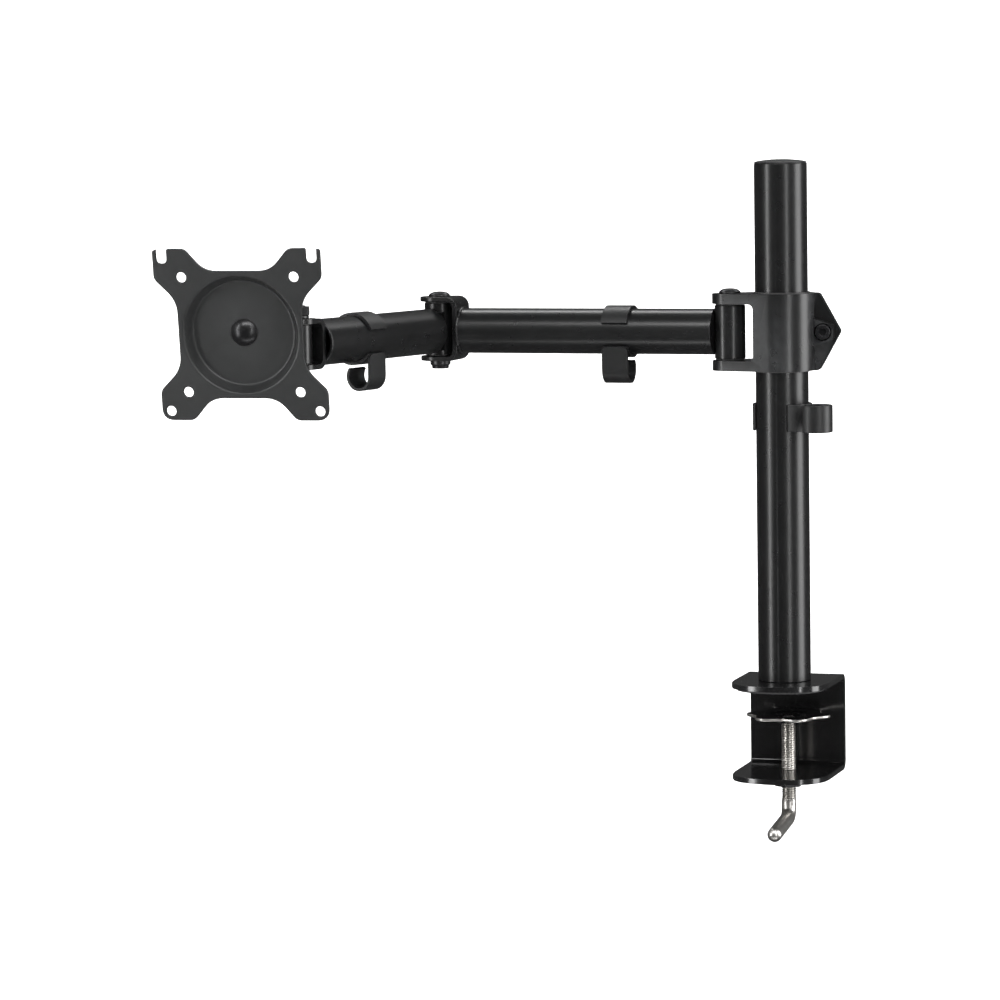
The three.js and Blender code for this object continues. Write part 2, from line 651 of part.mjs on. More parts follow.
function addArm2(group) {
  const top = elbow.top - elbow.sheet - gap - 0.8;
  const low = elbow.bottom + elbow.sheet + gap + 0.8;
  group.add(named('arm2_barrel', neckedBarrel(low, top), satinBlack));
  group.add(named('arm2_bush_upper', flangedBush(top + 0.8, true), nylon));
  group.add(named('arm2_bush_lower', flangedBush(low - 0.8, false), nylon));
  group.add(named('elbow_bolt', pivotBolt(elbow.top + 0.1, elbow.bottom - 5), blackZinc));
  group.add(named('elbow_nut', lockNut(elbow.bottom - 0.1), blackZinc));
  group.add(named('arm2_tube', armTube(arm2.tubeX, arm2.length - fork.web - gap), satinBlack));
  const clipMesh = named('arm2_cable_clip', armClip(), blackPlastic);
  clipMesh.position.x = arm2.clipX;
  group.add(clipMesh);
  const forkPlace = placed(group, arm2.length, 0, 0, 180);
  forkPlace.add(named('head_fork', cBracket(fork), satinBlack));
  forkPlace.add(named('pan_bolt', panBolt(), blackZinc));
  forkPlace.add(named('pan_nut_washer', panNutWasher(), blackZinc));
  forkPlace.add(named('pan_nut', panNut(), blackZinc));
  return placed(group, arm2.length, 0, 0, head.heading - arm2.heading);
}

function addHead(group) {
  group.add(named('pan_washer_upper', panWasher(1), nylon));
  group.add(named('pan_washer_lower', panWasher(-1), nylon));
  group.add(named('head_swivel', headSwivel(), satinBlack));
  const tilt = placed(group, head.tiltX, head.tiltY, head.tiltZ);
  tilt.rotation.y = head.plateTilt * deg;
  tilt.add(named('tilt_bracket', tiltBracket(), satinBlack));
  tilt.add(named('tilt_washer_left', tiltWasher(-1), nylon));
  tilt.add(named('tilt_washer_right', tiltWasher(1), nylon));
  tilt.add(named('tilt_bolt', tiltBolt(), blackZinc));
  tilt.add(named('tilt_nut', tiltNut(), blackZinc));
  addPlate(tilt);
}

// The plate's own frame: X across the screen, Y up it, Z out towards the screen.
function addPlate(tilt) {
  const facing = new THREE.Group();
  facing.position.x = head.plateX;
  facing.setRotationFromAxisAngle(new THREE.Vector3(1, 1, 1).normalize(), 120 * deg);
  tilt.add(facing);
  const washer = named('pivot_washer', pivotWasher(), nylon);
  washer.position.z = -plate.dishDepth - plate.sheet - head.backing / 2;
  facing.add(washer);
  facing.add(named('pivot_rivet', pivotRivet(), blackZinc));
  const plateMesh = named('screen_plate', screenPlate(), satinBlack);
  facing.add(plateMesh);
}

addClamp();
addHead(addArm2(addArm1(addCollar())));

export default part;
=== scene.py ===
"""Monitor arm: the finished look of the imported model. Metres, in the CAD model's own frame."""

import json
import math

import bmesh
import bpy
from mathutils import Matrix, Vector


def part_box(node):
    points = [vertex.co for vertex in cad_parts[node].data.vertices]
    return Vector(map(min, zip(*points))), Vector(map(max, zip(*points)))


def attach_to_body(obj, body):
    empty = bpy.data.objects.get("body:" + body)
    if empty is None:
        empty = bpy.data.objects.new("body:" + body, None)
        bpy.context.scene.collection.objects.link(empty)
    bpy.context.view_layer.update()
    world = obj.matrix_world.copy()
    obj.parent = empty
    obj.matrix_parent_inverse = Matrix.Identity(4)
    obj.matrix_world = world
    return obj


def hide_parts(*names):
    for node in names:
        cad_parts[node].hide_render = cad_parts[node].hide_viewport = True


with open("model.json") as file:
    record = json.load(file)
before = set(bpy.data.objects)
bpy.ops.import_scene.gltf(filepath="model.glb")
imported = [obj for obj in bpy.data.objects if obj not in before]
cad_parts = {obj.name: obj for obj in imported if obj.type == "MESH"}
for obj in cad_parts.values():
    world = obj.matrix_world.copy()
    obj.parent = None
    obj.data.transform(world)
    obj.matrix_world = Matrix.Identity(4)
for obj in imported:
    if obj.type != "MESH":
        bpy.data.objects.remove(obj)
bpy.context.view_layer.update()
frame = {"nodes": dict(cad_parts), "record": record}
record = frame["record"]
MM = 0.001
BODY_OF = {node: body for body, nodes in record["behaviour"]["bodies"].items() for node in nodes}
SLOT_OF = {part["node"]: part["material_slot"] for part in record["subparts"]}
JOINT = {joint["name"]: joint for joint in record["behaviour"]["joints"]}

# Sizes in millimetres that the CAD solids leave plain.
SCREW = {"crest": 4.95, "root": 4.2, "pitch": 1.5, "thread_end": -78.5, "bend_z": -89.0,
         "bend_r": 9.0, "handle": 60.0, "drop": 3.0, "heading": 273.5, "shoulder": -25.3}
PRESS = {"rim_z": -19.5, "sheet": 2.0, "tip_r": 28.5, "valley_r": 23.0,
         "dish_depth": 3.5, "hole_r": 3.8, "lobes": 6}
PLATE = {"sheet": 2.5, "dish_out": 38.6, "dish_in": 34.3, "dish_depth": 8.0, "body": 41.5,
         "tip": 56.0, "arm_in": 22.0, "arm_out": 35.0, "hole_r": 3.4, "hook_r": 3.5,
         "inner_hole": 37.5, "outer_hole": 50.0, "centre_r": 4.4, "edge": 0.4}
TUBE_R = 15.25
CREASE_ANGLE = 24
SHARP_ANGLE = 38
CAMERA = {"place": (650.1, -2686.8, 395.0), "heading": 17.5, "pitch": 5.53, "roll": 0.87,
          "lens": 150.3}

# Studio sizes and places are in metres, and light power is in watts.
SWEEP = {"floor": -0.62, "radius": 4.2, "bend": 0.9, "height": 3.4}
LIGHT_TARGET = (-0.15, -0.05, 0.15)
# Each strip: name, (right, away, up) from the target as the camera sees it, size, power.
STRIPS = [
    ("key", (1.5, -0.3, 0.2), (0.7, 1.6), 20),
    ("front strip", (0.75, -1.5, 0.15), (0.13, 1.6), 7),
    ("left strip", (-1.35, -0.7, 0.15), (0.2, 1.6), 12),
    ("top", (0, -1.1, 1.25), (2.0, 0.3), 20),
    ("low", (0, -0.7, -1.1), (1.6, 0.2), 4),
]


# ---- small tools ----------------------------------------------------------------------
def joint_place(name):
    """Where a joint sits, as a vector in metres."""
    return Vector(JOINT[name]["pos_m"])


def plate_matrix():
    """The screen plate's own frame: X across the screen, Y up it, Z out towards it."""
    normal = Vector(JOINT["screen_turn"]["axis"]).normalized()
    across = Vector((0, 0, 1)).cross(normal).normalized()
    up = normal.cross(across)
    turn = Matrix((across, up, normal)).transposed().to_4x4()
    return Matrix.Translation(joint_place("screen_turn")) @ turn


def arm_matrix(start, end):
    """A frame at one joint with X towards the next one and Z up."""
    along = joint_place(end) - joint_place(start)
    turn = Matrix.Rotation(math.atan2(along.y, along.x), 4, "Z")
    return Matrix.Translation(joint_place(start)) @ turn


def finish_mesh(bm, name, matrix=None, sharp=SHARP_ANGLE):
    """Turns a bmesh in millimetres into a smooth-shaded object in metres."""
    bmesh.ops.recalc_face_normals(bm, faces=bm.faces)
    mesh = bpy.data.meshes.new(name)
    bm.to_mesh(mesh)
    bm.free()
    mesh.transform((matrix or Matrix()) @ Matrix.Scale(MM, 4))
    return as_object(mesh, name, sharp)


def as_object(mesh, name, sharp=SHARP_ANGLE):
    """Smooth shading up to the sharp angle, with evenly weighted normals."""
    mesh.polygons.foreach_set("use_smooth", [True] * len(mesh.polygons))
    mesh.set_sharp_from_angle(angle=math.radians(sharp))
    obj = bpy.data.objects.new(name, mesh)
    bpy.context.scene.collection.objects.link(obj)
    weighted = obj.modifiers.new("even shading", "WEIGHTED_NORMAL")
    weighted.keep_sharp = True
    return obj


def adopt(obj, node, *materials):
    """The finished piece stands for a CAD node and rides on that node's body."""
    for material in materials:
        obj.data.materials.append(material)
    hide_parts(node)
    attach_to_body(obj, BODY_OF[node])
    return obj


def attach(obj, body, material):
    """An added detail that has no CAD node of its own, such as a weld bead."""
    obj.data.materials.append(material)
    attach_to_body(obj, body)
    return obj


def lathe(bm, profile, segments):
    """Spins a closed profile of (radius, z) points about Z."""
    rings = []
    for radius, z in profile:
        if radius < 1e-6:
            rings.append([bm.verts.new((0, 0, z))])
            continue
        turns = [2 * math.pi * k / segments for k in range(segments)]
        rings.append([bm.verts.new((radius * math.cos(a), radius * math.sin(a), z))
                      for a in turns])
    for first, second in zip(rings, rings[1:] + rings[:1]):
        bridge(bm, first, second)


def bridge(bm, first, second):
    """Faces between two rings, either of which may be a single point."""
    if len(first) == 1 and len(second) == 1:
        return
    count = max(len(first), len(second))
    for k in range(count):
        n = (k + 1) % count
        corners = [first[k % len(first)], first[n % len(first)],
                   second[n % len(second)], second[k % len(second)]]
        unique = list(dict.fromkeys(corners))
        if len(unique) > 2:
            bm.faces.new(unique)


def rounded(profile, radius, steps=3):
    """The same (radius, z) profile with its corners rounded off the axis."""
    points = []
    count = len(profile)
    for i, here in enumerate(profile):
        p = Vector(here)
        before = Vector(profile[i - 1]) - p
        after = Vector(profile[(i + 1) % count]) - p
        if p.x < 1e-6 or before.length < 1e-6 or after.length < 1e-6:
            points.append(tuple(p))
            continue
        reach = min(radius, before.length * 0.45, after.length * 0.45)
        a = p + before.normalized() * reach
        b = p + after.normalized() * reach
        for k in range(steps + 1):
            t = k / steps
            points.append(tuple(a * (1 - t) ** 2 + p * (2 * t * (1 - t)) + b * t ** 2))
    return points


# ---- materials ------------------------------------------------------------------------
def add(nodes, kind, **values):
    """A new shader node with its settings or input sockets filled in."""
    node = nodes.new(kind)
    for key, value in values.items():
        if hasattr(node, key):
            setattr(node, key, value)
        else:
            node.inputs[key].default_value = value
    return node


def surface(name, dark, light, rough, metallic=0.0, grain=900.0, relief=0.12, mottle=25.0,
            coat=0.0, wear=None):
    """A procedural surface: mottled colour, uneven gloss, fine relief and worn edges."""
    material = bpy.data.materials.new(name)
    material.use_nodes = True
    tree = material.node_tree
    nodes, links = tree.nodes, tree.links
    shader = nodes["Principled BSDF"]
    shader.inputs["Metallic"].default_value = metallic
    shader.inputs["Specular IOR Level"].default_value = 0.5
    shader.inputs["Coat Weight"].default_value = coat
    shader.inputs["Coat Roughness"].default_value = 0.12
    place = nodes.new("ShaderNodeTexCoord").outputs["Object"]
    cloud = add(nodes, "ShaderNodeTexNoise", Scale=mottle, Detail=6.0, Roughness=0.6)
    links.new(place, cloud.inputs["Vector"])
    colour = nodes.new("ShaderNodeValToRGB")
    colour.color_ramp.elements[0].position = 0.3
    colour.color_ramp.elements[0].color = (*dark, 1)
    colour.color_ramp.elements[1].position = 0.7
    colour.color_ramp.elements[1].color = (*light, 1)
    links.new(cloud.outputs["Fac"], colour.inputs["Fac"])
    tone = colour.outputs["Color"]
    if wear:
        tone = worn_edges(nodes, links, place, tone, wear)
    links.new(tone, shader.inputs["Base Color"])
    gloss = add(nodes, "ShaderNodeTexNoise", Scale=mottle * 6, Detail=4.0)
    links.new(place, gloss.inputs["Vector"])
    span = nodes.new("ShaderNodeMapRange")
    span.inputs["To Min"].default_value = rough[0]
    span.inputs["To Max"].default_value = rough[1]
    links.new(gloss.outputs["Fac"], span.inputs["Value"])
    links.new(span.outputs["Result"], shader.inputs["Roughness"])
    skin = add(nodes, "ShaderNodeTexNoise", Scale=grain, Detail=2.0, Roughness=0.45)
    links.new(place, skin.inputs["Vector"])
    bump = add(nodes, "ShaderNodeBump", Strength=relief, Distance=0.00004)
    links.new(skin.outputs["Fac"], bump.inputs["Height"])
    links.new(bump.outputs["Normal"], shader.inputs["Normal"])
    return material


def worn_edges(nodes, links, place, tone, wear):
    """Mixes a lighter, rubbed colour in where the surface is sharply convex."""
    edge = nodes.new("ShaderNodeNewGeometry")
    ramp = nodes.new("ShaderNodeMapRange")
    ramp.inputs["From Min"].default_value = 0.53
    ramp.inputs["From Max"].default_value = 0.62
    links.new(edge.outputs["Pointiness"], ramp.inputs["Value"])
    patch = add(nodes, "ShaderNodeTexNoise", Scale=160.0, Detail=5.0)
    links.new(place, patch.inputs["Vector"])
    amount = nodes.new("ShaderNodeMath")
    amount.operation = "MULTIPLY"
    links.new(ramp.outputs["Result"], amount.inputs[0])
    links.new(patch.outputs["Fac"], amount.inputs[1])
    mix = nodes.new("ShaderNodeMix")
    mix.data_type = "RGBA"
    mix.inputs["B"].default_value = (*wear, 1)
    links.new(amount.outputs["Value"], mix.inputs["Factor"])
    links.new(tone, mix.inputs["A"])
    return mix.outputs["Result"]


def all_materials():
    """Every finish. All but the plate's are named after the material slots in the record."""
    rubbed = (0.03, 0.031, 0.032)
    return {
        "satin_black": surface("satin powder coat", (0.0035, 0.0036, 0.0038), (0.005, 0.0051, 0.0053),
                               (0.25, 0.32), grain=1400, relief=0.05, wear=rubbed),
        "gloss_black": surface("gloss black paint", (0.003, 0.003, 0.0032), (0.0045, 0.0045, 0.0047),
                               (0.14, 0.22), grain=500, relief=0.05, coat=0.4, wear=rubbed),
        "black_plastic": surface("grained black plastic", (0.006, 0.0062, 0.0064),
                                 (0.009, 0.0092, 0.0095), (0.36, 0.46), grain=2600, relief=0.18),
        "plate": surface("plate powder coat", (0.012, 0.0125, 0.0127), (0.017, 0.0176, 0.0178),
                         (0.36, 0.44), grain=1300, relief=0.12, wear=rubbed),
        "nylon": surface("dark nylon", (0.03, 0.03, 0.03), (0.04, 0.04, 0.04), (0.4, 0.5),
                         grain=1800, relief=0.08),
        "foam": surface("closed-cell foam", (0.02, 0.02, 0.021), (0.035, 0.035, 0.036),
                        (0.85, 0.97), grain=2200, relief=0.6),
        "dark_steel": surface("black zinc steel", (0.02, 0.02, 0.021), (0.035, 0.035, 0.037),
                              (0.24, 0.38), metallic=0.85, grain=1500, relief=0.08,
                              wear=(0.25, 0.25, 0.25)),
        "bright_steel": surface("bright zinc steel", (0.62, 0.60, 0.57), (0.80, 0.78, 0.75),
                                (0.3, 0.44), metallic=1.0, grain=700, relief=0.10, mottle=120),
    }


# ---- pieces refined from their CAD solids -------------------------------------------------
def refined(node, material, width):
    """The CAD solid with its flat faces merged and its sharp edges rounded over."""
    bm = bmesh.new()
    bm.from_mesh(frame["nodes"][node].data)
    bmesh.ops.remove_doubles(bm, verts=bm.verts, dist=2e-6)
    bmesh.ops.dissolve_degenerate(bm, edges=bm.edges, dist=2e-6)
    bmesh.ops.dissolve_limit(bm, angle_limit=math.radians(0.4), verts=bm.verts, edges=bm.edges)
    limit = math.radians(CREASE_ANGLE)
    crease = [e for e in bm.edges if len(e.link_faces) == 2 and e.calc_face_angle(0) > limit]
    bmesh.ops.bevel(bm, geom=crease, offset=width * MM, segments=3, profile=0.5,
                    affect="EDGES", clamp_overlap=True)
    mesh = bpy.data.meshes.new(node)
    bm.to_mesh(mesh)
    bm.free()
    return adopt(as_object(mesh, node + "_finished"), node, material)


# ---- jack screw and pressure plate --------------------------------------------------------
def screw_path():
    """Centre line from the shoulder down and out along the handle.

    Also returns how many of its first points are threaded, and the handle's direction.
    """
    s = SCREW
    out = Vector((1, 0, -s["drop"] / s["handle"])).normalized()
    corner = Vector((0, 0, s["bend_z"]))
    start = corner + Vector((0, 0, s["bend_r"]))
    turn = corner + out * s["bend_r"]
    tip = corner + out * (s["handle"] - s["crest"])
    points = []
    step = s["pitch"] / 9
    count = int((s["shoulder"] - s["thread_end"]) / step)
    points += [Vector((0, 0, s["shoulder"] - step * k)) for k in range(count)]
    points += [Vector((0, 0, s["thread_end"])), start]
    for k in range(1, 15):
        t = k / 14
        points.append(start * (1 - t) ** 2 + corner * (2 * t * (1 - t)) + turn * t ** 2)
    points += [turn.lerp(tip, k / 6) for k in range(1, 7)]
    return points, count, out


def jack_screw(materials):
    """The threaded screw with its bent handle, as one swept tube."""
    s = SCREW
    points, threaded_count, out = screw_path()
    segments = 30
    bm = bmesh.new()
    rings = []
    for i, p in enumerate(points):
        ahead = points[min(i + 1, len(points) - 1)] - points[max(i - 1, 0)]
        side = Vector((0, 1, 0))
        front = side.cross(ahead.normalized())
        ring = []
        for k in range(segments):
            a = 2 * math.pi * k / segments
            radius = s["crest"]
            if i < threaded_count:
                phase = (p.z / s["pitch"] + a / (2 * math.pi)) % 1
                depth = min(1.0, (p.z - s["thread_end"]) / (2 * s["pitch"]))
                radius -= (s["crest"] - s["root"]) * depth * abs(2 * phase - 1)
            ring.append(bm.verts.new(p + radius * (math.cos(a) * front + math.sin(a) * side)))
        rings.append(ring)
    for first, second in zip(rings, rings[1:]):
        bridge(bm, first, second)
    dome(bm, rings[-1], points[-1], out, s["crest"])
    neck(bm, rings[0])
    axis = joint_place("clamp_screw")
    matrix = (Matrix.Translation((axis.x, axis.y, 0))
              @ Matrix.Rotation(math.radians(s["heading"]), 4, "Z"))
    obj = finish_mesh(bm, "jack_screw_finished", matrix, sharp=50)
    return adopt(obj, "jack_screw", materials["bright_steel"])


def dome(bm, ring, centre, out, radius):
    """Closes the handle with a half-round end."""
    last = ring
    for k in range(1, 8):
        angle = math.pi / 2 * k / 8
        now = []
        for v in ring:
            arm = (v.co - centre) * math.cos(angle)
            now.append(bm.verts.new(centre + arm + out * radius * math.sin(angle)))
        bridge(bm, last, now)
        last = now
    bridge(bm, last, [bm.verts.new(centre + out * radius)])


def neck(bm, ring):
    """The turned-down neck through the pressure plate, with its hammered-over end."""
    shoulder = SCREW["shoulder"]
    floor = PRESS["rim_z"] - PRESS["dish_depth"]
    profile = [(3.4, shoulder), (3.4, floor + 0.3), (4.7, floor + 0.3), (5.0, floor + 0.7),
               (4.6, floor + 1.3), (3.6, floor + 1.8), (2.2, floor + 2.0), (1.6, floor + 1.7)]
    last = ring
    for radius, z in profile:
        now = [bm.verts.new((v.co.x * radius / SCREW["crest"], v.co.y * radius / SCREW["crest"], z))
               for v in ring]
        bridge(bm, last, now)
        last = now
    bridge(bm, last, [bm.verts.new((0, 0, floor + 1.6))])


def pressure_plate(materials):
    """A pressed disc with six lobes and a dished middle; its sheared edge is bare steel."""
    p = PRESS
    middle = (p["tip_r"] + p["valley_r"]) / 2
    swing = (p["tip_r"] - p["valley_r"]) / 2
    steps = 144
    levels = [(p["hole_r"], -p["dish_depth"]), (9.0, -p["dish_depth"]), (10.2, -3.2), (11.2, -2.3),
              (12.2, -1.2), (13.2, -0.35), (14.4, -0.05), (17.0, 0.0)]
    bm = bmesh.new()
    edge_faces = []

    def ring(radius_at, z):
        verts = []
        for k in range(steps):
            a = 2 * math.pi * k / steps
            r = radius_at(a)
            verts.append(bm.verts.new((r * math.cos(a), r * math.sin(a), p["rim_z"] + z)))
        return verts

    def outline(a):
        return middle - swing * math.cos(p["lobes"] * (a - math.pi / 2))

    def at(value):
        return lambda a: value

    def inset(amount):
        return lambda a: outline(a) - amount

    top = [ring(at(r), z) for r, z in levels] + [ring(inset(1.6), 0), ring(inset(0.4), -0.08)]
    side = [ring(inset(0.1), -0.35), ring(inset(0.0), -1.0), ring(inset(0.1), -1.7)]
    low = [ring(inset(0.5), -p["sheet"]), ring(inset(1.8), -p["sheet"])]
    low += [ring(at(r), z - p["sheet"]) for r, z in reversed(levels)]
    loop = top + side + low
    for i, first in enumerate(loop):
        before = set(bm.faces)
        bridge(bm, first, loop[(i + 1) % len(loop)])
        if len(top) - 1 <= i <= len(top) + len(side) - 1:
            edge_faces += [f for f in bm.faces if f not in before]
    for face in edge_faces:
        face.material_index = 1
    axis = joint_place("clamp_press")
    obj = finish_mesh(bm, "pressure_plate_finished", Matrix.Translation((axis.x, axis.y, 0)), 60)
    return adopt(obj, "pressure_plate", materials["gloss_black"], materials["bright_steel"])


# ---- screen plate -------------------------------------------------------------------------
def blended(corners, steps=7):
    """A closed outline from (x, y, reach) corners, each rounded over its reach."""
    points = []
    for i, (x, y, reach) in enumerate(corners):
        here = Vector((x, y))
        before = (Vector(corners[i - 1][:2]) - here).normalized() * reach
        after = (Vector(corners[(i + 1) % len(corners)][:2]) - here).normalized() * reach
        a, b = here + before, here + after
        for k in range(steps + 1):
            t = k / steps
            points.append(a * (1 - t) ** 2 + here * (2 * t * (1 - t)) + b * t ** 2)
    return points


def plate_outline():
    """Four cut corners with round holes or open hooks; one half is mirrored for the other."""
    p = PLATE
    edge, tip, notch, ear = p["body"], p["tip"], p["arm_in"], p["arm_out"]
    low, high = p["outer_hole"] - p["hook_r"], p["outer_hole"] + p["hook_r"]
    half = [(notch, -edge, 8), (ear - 0.5, -tip, 3), (tip, -tip, 8), (tip, -ear - 1.5, 3),
            (edge, -notch, 8), (edge, notch, 8), (tip, ear + 1.5, 3), (tip, tip - 1.2, 1),
            (high, tip - 0.2, 0.7), (high, low, 3.4), (low, low, 3.4), (low, tip, 1.2),
            (ear - 0.5, tip, 3), (notch, edge, 8)]
    return blended(half + [(-x, y, reach) for x, y, reach in reversed(half)])


def moved_in(points, amount):
    """The outline moved towards the sheet by a small amount."""
    moved = []
    for i, here in enumerate(points):
        along = (points[(i + 1) % len(points)] - points[i - 1]).normalized()
        moved.append(here + Vector((-along.y, along.x)) * amount)
    return moved


def round_hole(x, y, radius, steps=32):
    """Clockwise, so that moved_in() widens it."""
    turns = [-2 * math.pi * k / steps for k in range(steps)]
    return [Vector((x + radius * math.cos(a), y + radius * math.sin(a))) for a in turns]


def plate_dish(bm):
    """The pressed dish as one lathe; returns its front and back rims."""
    p = PLATE
    t, depth, out, inner = p["sheet"], p["dish_depth"], p["dish_out"], p["dish_in"]
    hole = p["centre_r"]
    face = [(out + 0.9, 0), (out + 0.1, -0.12), (out - 0.5, -0.55), (out - 1.0, -1.3),
            (inner + 0.6, -depth + 1.5), (inner + 0.1, -depth + 0.6), (inner - 0.6, -depth + 0.15),
            (inner - 1.6, -depth), (hole, -depth)]
    back = [(hole, -depth - t), (inner - 1.0, -depth - t), (inner + 0.3, -depth - t + 0.4),
            (inner + 1.3, -depth - t + 1.6), (out + 0.6, -t - 0.9), (out + 1.0, -t - 0.3),
            (out + 1.8, -t)]
    rings = []
    for radius, z in face + back:
        turns = [2 * math.pi * k / 128 for k in range(128)]
        rings.append([bm.verts.new((radius * math.cos(a), radius * math.sin(a), z))
                      for a in turns])
    for first, second in zip(rings, rings[1:]):
        bridge(bm, first, second)
    return rings[0], rings[-1]


def screen_plate(materials):
    """A stamped sheet with softened edges, filled between its outline, holes and dish."""
    p = PLATE
    t, edge = p["sheet"], p["edge"]
    near, far = p["inner_hole"], p["outer_hole"]
    outlines = [plate_outline()]
    outlines += [round_hole(x, y, p["hole_r"]) for x in (-near, near) for y in (-near, near)]
    outlines += [round_hole(x, -far, p["hole_r"]) for x in (-far, far)]
    levels = [(edge, 0), (edge * 0.3, -edge * 0.3), (0, -edge), (0, edge - t),
              (edge * 0.3, edge * 0.3 - t), (edge, -t)]
    bm = bmesh.new()
    front, back = [[rim] for rim in plate_dish(bm)]
    for outline in outlines:
        loops = [[bm.verts.new((*point, z)) for point in moved_in(outline, amount)]
                 for amount, z in levels]
        for first, second in zip(loops, loops[1:]):
            bridge(bm, first, second)
        front.append(loops[0])
        back.append(loops[-1])
    for loops in (front, back):
        edges = [bm.edges.get((loop[k - 1], loop[k])) for loop in loops for k in range(len(loop))]
        bmesh.ops.triangle_fill(bm, edges=edges, use_beauty=True)
    obj = finish_mesh(bm, "screen_plate_finished", plate_matrix(), sharp=50)
    return adopt(obj, "screen_plate", materials["plate"])


# ---- round pieces ---------------------------------------------------------------------------
def turned_piece(node, profile, material, round_by, segments=128):
    """A round piece on the world's Z axis that stands for one CAD node."""
    bm = bmesh.new()
    lathe(bm, rounded(profile, round_by), segments)
    return adopt(finish_mesh(bm, node + "_finished"), node, material)


def pole(materials):
    """The steel pole and the domed plastic cap pushed into its top."""
    low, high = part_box("pole_tube")
    radius = (high.x - low.x) / 2 / MM
    z0, z1 = low.z / MM, high.z / MM
    wall = [(radius - 1.8, z0), (radius, z0), (radius, z1), (radius - 1.8, z1)]
    turned_piece("pole_tube", wall, materials["satin_black"], round_by=0.5)
    low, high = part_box("pole_cap")
    rim = high.z / MM - 2.6
    skirt = radius - 2.1
    cap = [(0, rim + 2.6), (6, rim + 2.45), (11, rim + 2.0), (15, rim + 1.45),
           (radius - 0.4, rim + 0.95), (radius, rim), (skirt, rim), (skirt, rim - 12),
           (skirt - 2, rim - 12), (skirt - 2, rim - 0.5), (0, rim - 0.5)]
    turned_piece("pole_cap", cap, materials["black_plastic"], round_by=0.7)


def weld_bead(name, tube, matrix, materials, size=1.1):
    """A rippled bead where a tube's far end is welded to its bracket."""
    to_arm = matrix.inverted() @ frame["nodes"][tube].matrix_world
    ends = [to_arm @ v.co for v in frame["nodes"][tube].data.vertices]
    far = max(v.x for v in ends) / MM
    tip = [v for v in ends if v.x / MM > far - 1]
    side = (max(v.y for v in tip) + min(v.y for v in tip)) / 2 / MM
    bm = bmesh.new()
    around, across = 160, 10
    rings = []
    for i in range(around):
        a = 2 * math.pi * i / around
        swell = size * (0.84 + 0.16 * abs(math.sin(a * 18)))
        ring = []
        for k in range(across):
            b = 2 * math.pi * k / across
            r = TUBE_R + swell * math.cos(b)
            ring.append(bm.verts.new((far - 0.3 + swell * math.sin(b), side + r * math.cos(a),
                                      r * math.sin(a))))
        rings.append(ring)
    for first, second in zip(rings, rings[1:] + rings[:1]):
        bridge(bm, first, second)
    obj = finish_mesh(bm, name, matrix, 80)
    return attach(obj, BODY_OF[tube], materials["satin_black"])


# ---- the scene --------------------------------------------------------------------------------
def camera():
    """A long lens, slightly above the arm and looking a little down."""
    data = bpy.data.cameras.new("camera")
    data.lens = CAMERA["lens"]
    data.sensor_width = 36
    data.clip_end = 50
    obj = bpy.data.objects.new("camera", data)
    bpy.context.scene.collection.objects.link(obj)
    pitch = math.radians(CAMERA["pitch"])
    roll = math.radians(CAMERA["roll"])
    level = view_directions()[0]
    ahead = level * math.cos(pitch) - Vector((0, 0, math.sin(pitch)))
    right = ahead.cross(Vector((0, 0, 1))).normalized()
    up = right.cross(ahead)
    turned_up = up * math.cos(roll) + right * math.sin(roll)
    turned_right = right * math.cos(roll) - up * math.sin(roll)
    turn = Matrix((turned_right, turned_up, -ahead)).transposed().to_4x4()
    obj.matrix_world = Matrix.Translation(Vector(CAMERA["place"]) * MM) @ turn
    bpy.context.scene.camera = obj


def softbox(name, place, target, size, power):
    """A rectangular area light that faces its target."""
    data = bpy.data.lights.new(name, "AREA")
    data.shape = "RECTANGLE"
    data.size, data.size_y = size
    data.energy = power
    obj = bpy.data.objects.new(name, data)
    bpy.context.scene.collection.objects.link(obj)
    obj.location = place
    obj.rotation_euler = (Vector(target) - Vector(place)).to_track_quat("-Z", "Y").to_euler()


def view_directions():
    """Level directions away from the camera and to its right."""
    heading = math.radians(CAMERA["heading"])
    ahead = Vector((-math.sin(heading), math.cos(heading), 0))
    right = Vector((math.cos(heading), math.sin(heading), 0))
    return ahead, right


def sweep():
    """A pale round floor that curves up into a wall on every side."""
    radius, bend = SWEEP["radius"], SWEEP["bend"]
    steps = 16
    profile = [(0.0, 0.0), (radius, 0.0)]
    profile += [(radius + bend * math.sin(math.pi / 2 * k / steps),
                 bend - bend * math.cos(math.pi / 2 * k / steps)) for k in range(1, steps + 1)]
    profile.append((radius + bend, SWEEP["height"]))
    bm = bmesh.new()
    rings = []
    for out, z in profile:
        turns = [2 * math.pi * k / 96 for k in range(96)] if out else [0]
        rings.append([bm.verts.new((out * math.cos(a), out * math.sin(a), SWEEP["floor"] + z))
                      for a in turns])
    for first, second in zip(rings, rings[1:]):
        bridge(bm, first, second)
    mesh = bpy.data.meshes.new("studio_sweep")
    bm.to_mesh(mesh)
    bm.free()
    mesh.polygons.foreach_set("use_smooth", [True] * len(mesh.polygons))
    mesh.materials.append(white_paper())
    obj = bpy.data.objects.new("studio_sweep", mesh)
    bpy.context.scene.collection.objects.link(obj)
    obj.visible_glossy = False


def white_paper():
    """Faintly glowing paper, so the backdrop is even under a few lights."""
    paper = bpy.data.materials.new("white paper")
    paper.use_nodes = True
    shader = paper.node_tree.nodes["Principled BSDF"]
    shader.inputs["Base Color"].default_value = (0.9, 0.9, 0.9, 1)
    shader.inputs["Roughness"].default_value = 0.9
    shader.inputs["Emission Color"].default_value = (1, 1, 1, 1)
    shader.inputs["Emission Strength"].default_value = 0.75
    return paper


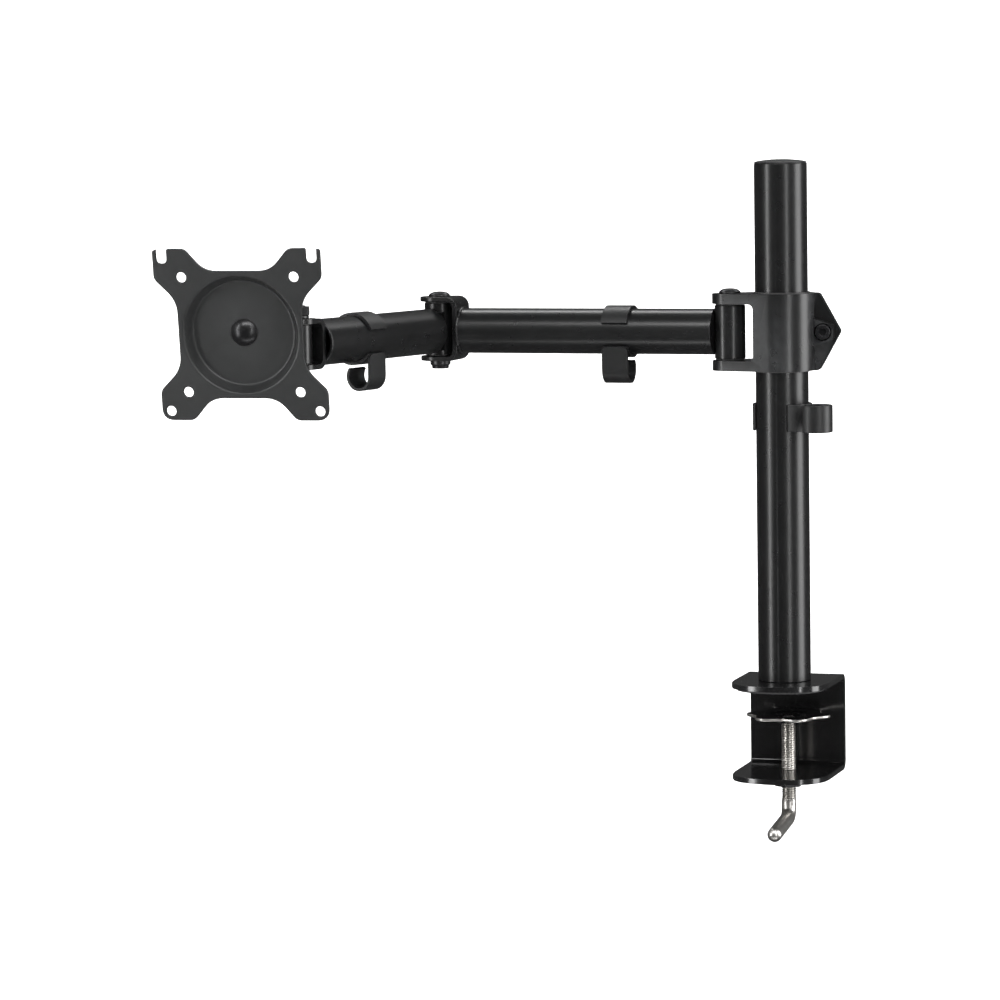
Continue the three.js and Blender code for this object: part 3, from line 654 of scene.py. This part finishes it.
def lights():
    """Strips that draw bands along the tubes, and one box that lights the backdrop."""
    ahead, right = view_directions()
    middle = Vector(LIGHT_TARGET)
    for name, (side, depth, rise), size, power in STRIPS:
        place = middle + right * side + ahead * depth + Vector((0, 0, rise))
        softbox(name, place, middle, size, power)
    softbox("back", ahead * 1.2 + Vector((0, 0, 1.9)), ahead * 2.2, (3.0, 0.8), 60)


def studio():
    """The backdrop, the lights and a dim even surrounding."""
    sweep()
    lights()
    bpy.context.scene.view_settings.view_transform = "Standard"
    world = bpy.data.worlds.new("studio")
    bpy.context.scene.world = world
    world.use_nodes = True
    background = world.node_tree.nodes["Background"]
    background.inputs["Color"].default_value = (1, 1, 1, 1)
    background.inputs["Strength"].default_value = 0.07


# ---- making it all --------------------------------------------------------------------------
EDGE = {
    "clamp_bracket": 0.7, "desk_pad": 0.3, "clamp_nut": 0.5, "pole_foot": 0.5,
    "pole_screw_1": 0.15, "pole_screw_2": 0.15, "pole_screw_3": 0.15, "pole_cable_clip": 0.5,
    "collar_liner": 0.3, "collar": 0.8, "collar_clamp_screw": 0.35, "collar_clamp_nut": 0.4,
    "arm1_pivot_bolt": 0.3, "arm1_pivot_nut": 0.4, "arm1_barrel": 0.5, "arm1_bush_upper": 0.15,
    "arm1_bush_lower": 0.15, "arm1_tube": 0.5, "arm1_cable_clip": 0.5, "elbow_bracket": 0.7,
    "elbow_bolt": 0.3, "elbow_nut": 0.3, "arm2_barrel": 0.5, "arm2_bush_upper": 0.15,
    "arm2_bush_lower": 0.15, "arm2_tube": 0.5, "arm2_cable_clip": 0.5, "head_fork": 0.7,
    "pan_bolt": 0.3, "pan_nut_washer": 0.3, "pan_nut": 0.5, "pan_washer_upper": 0.12,
    "pan_washer_lower": 0.12, "head_swivel": 0.6, "tilt_bracket": 0.5, "tilt_washer_left": 0.12,
    "tilt_washer_right": 0.12, "tilt_bolt": 0.3, "tilt_nut": 0.5, "pivot_washer": 0.2,
    "pivot_rivet": 0.3,
}

camera()
studio()
finishes = all_materials()
for node_name, edge_width in EDGE.items():
    refined(node_name, finishes[SLOT_OF[node_name]], edge_width)
pole(finishes)
jack_screw(finishes)
pressure_plate(finishes)
screen_plate(finishes)
weld_bead("weld_elbow", "arm1_tube", arm_matrix("arm1_swing", "elbow_swing"), finishes)
weld_bead("weld_fork", "arm2_tube", arm_matrix("elbow_swing", "head_pan"), finishes)
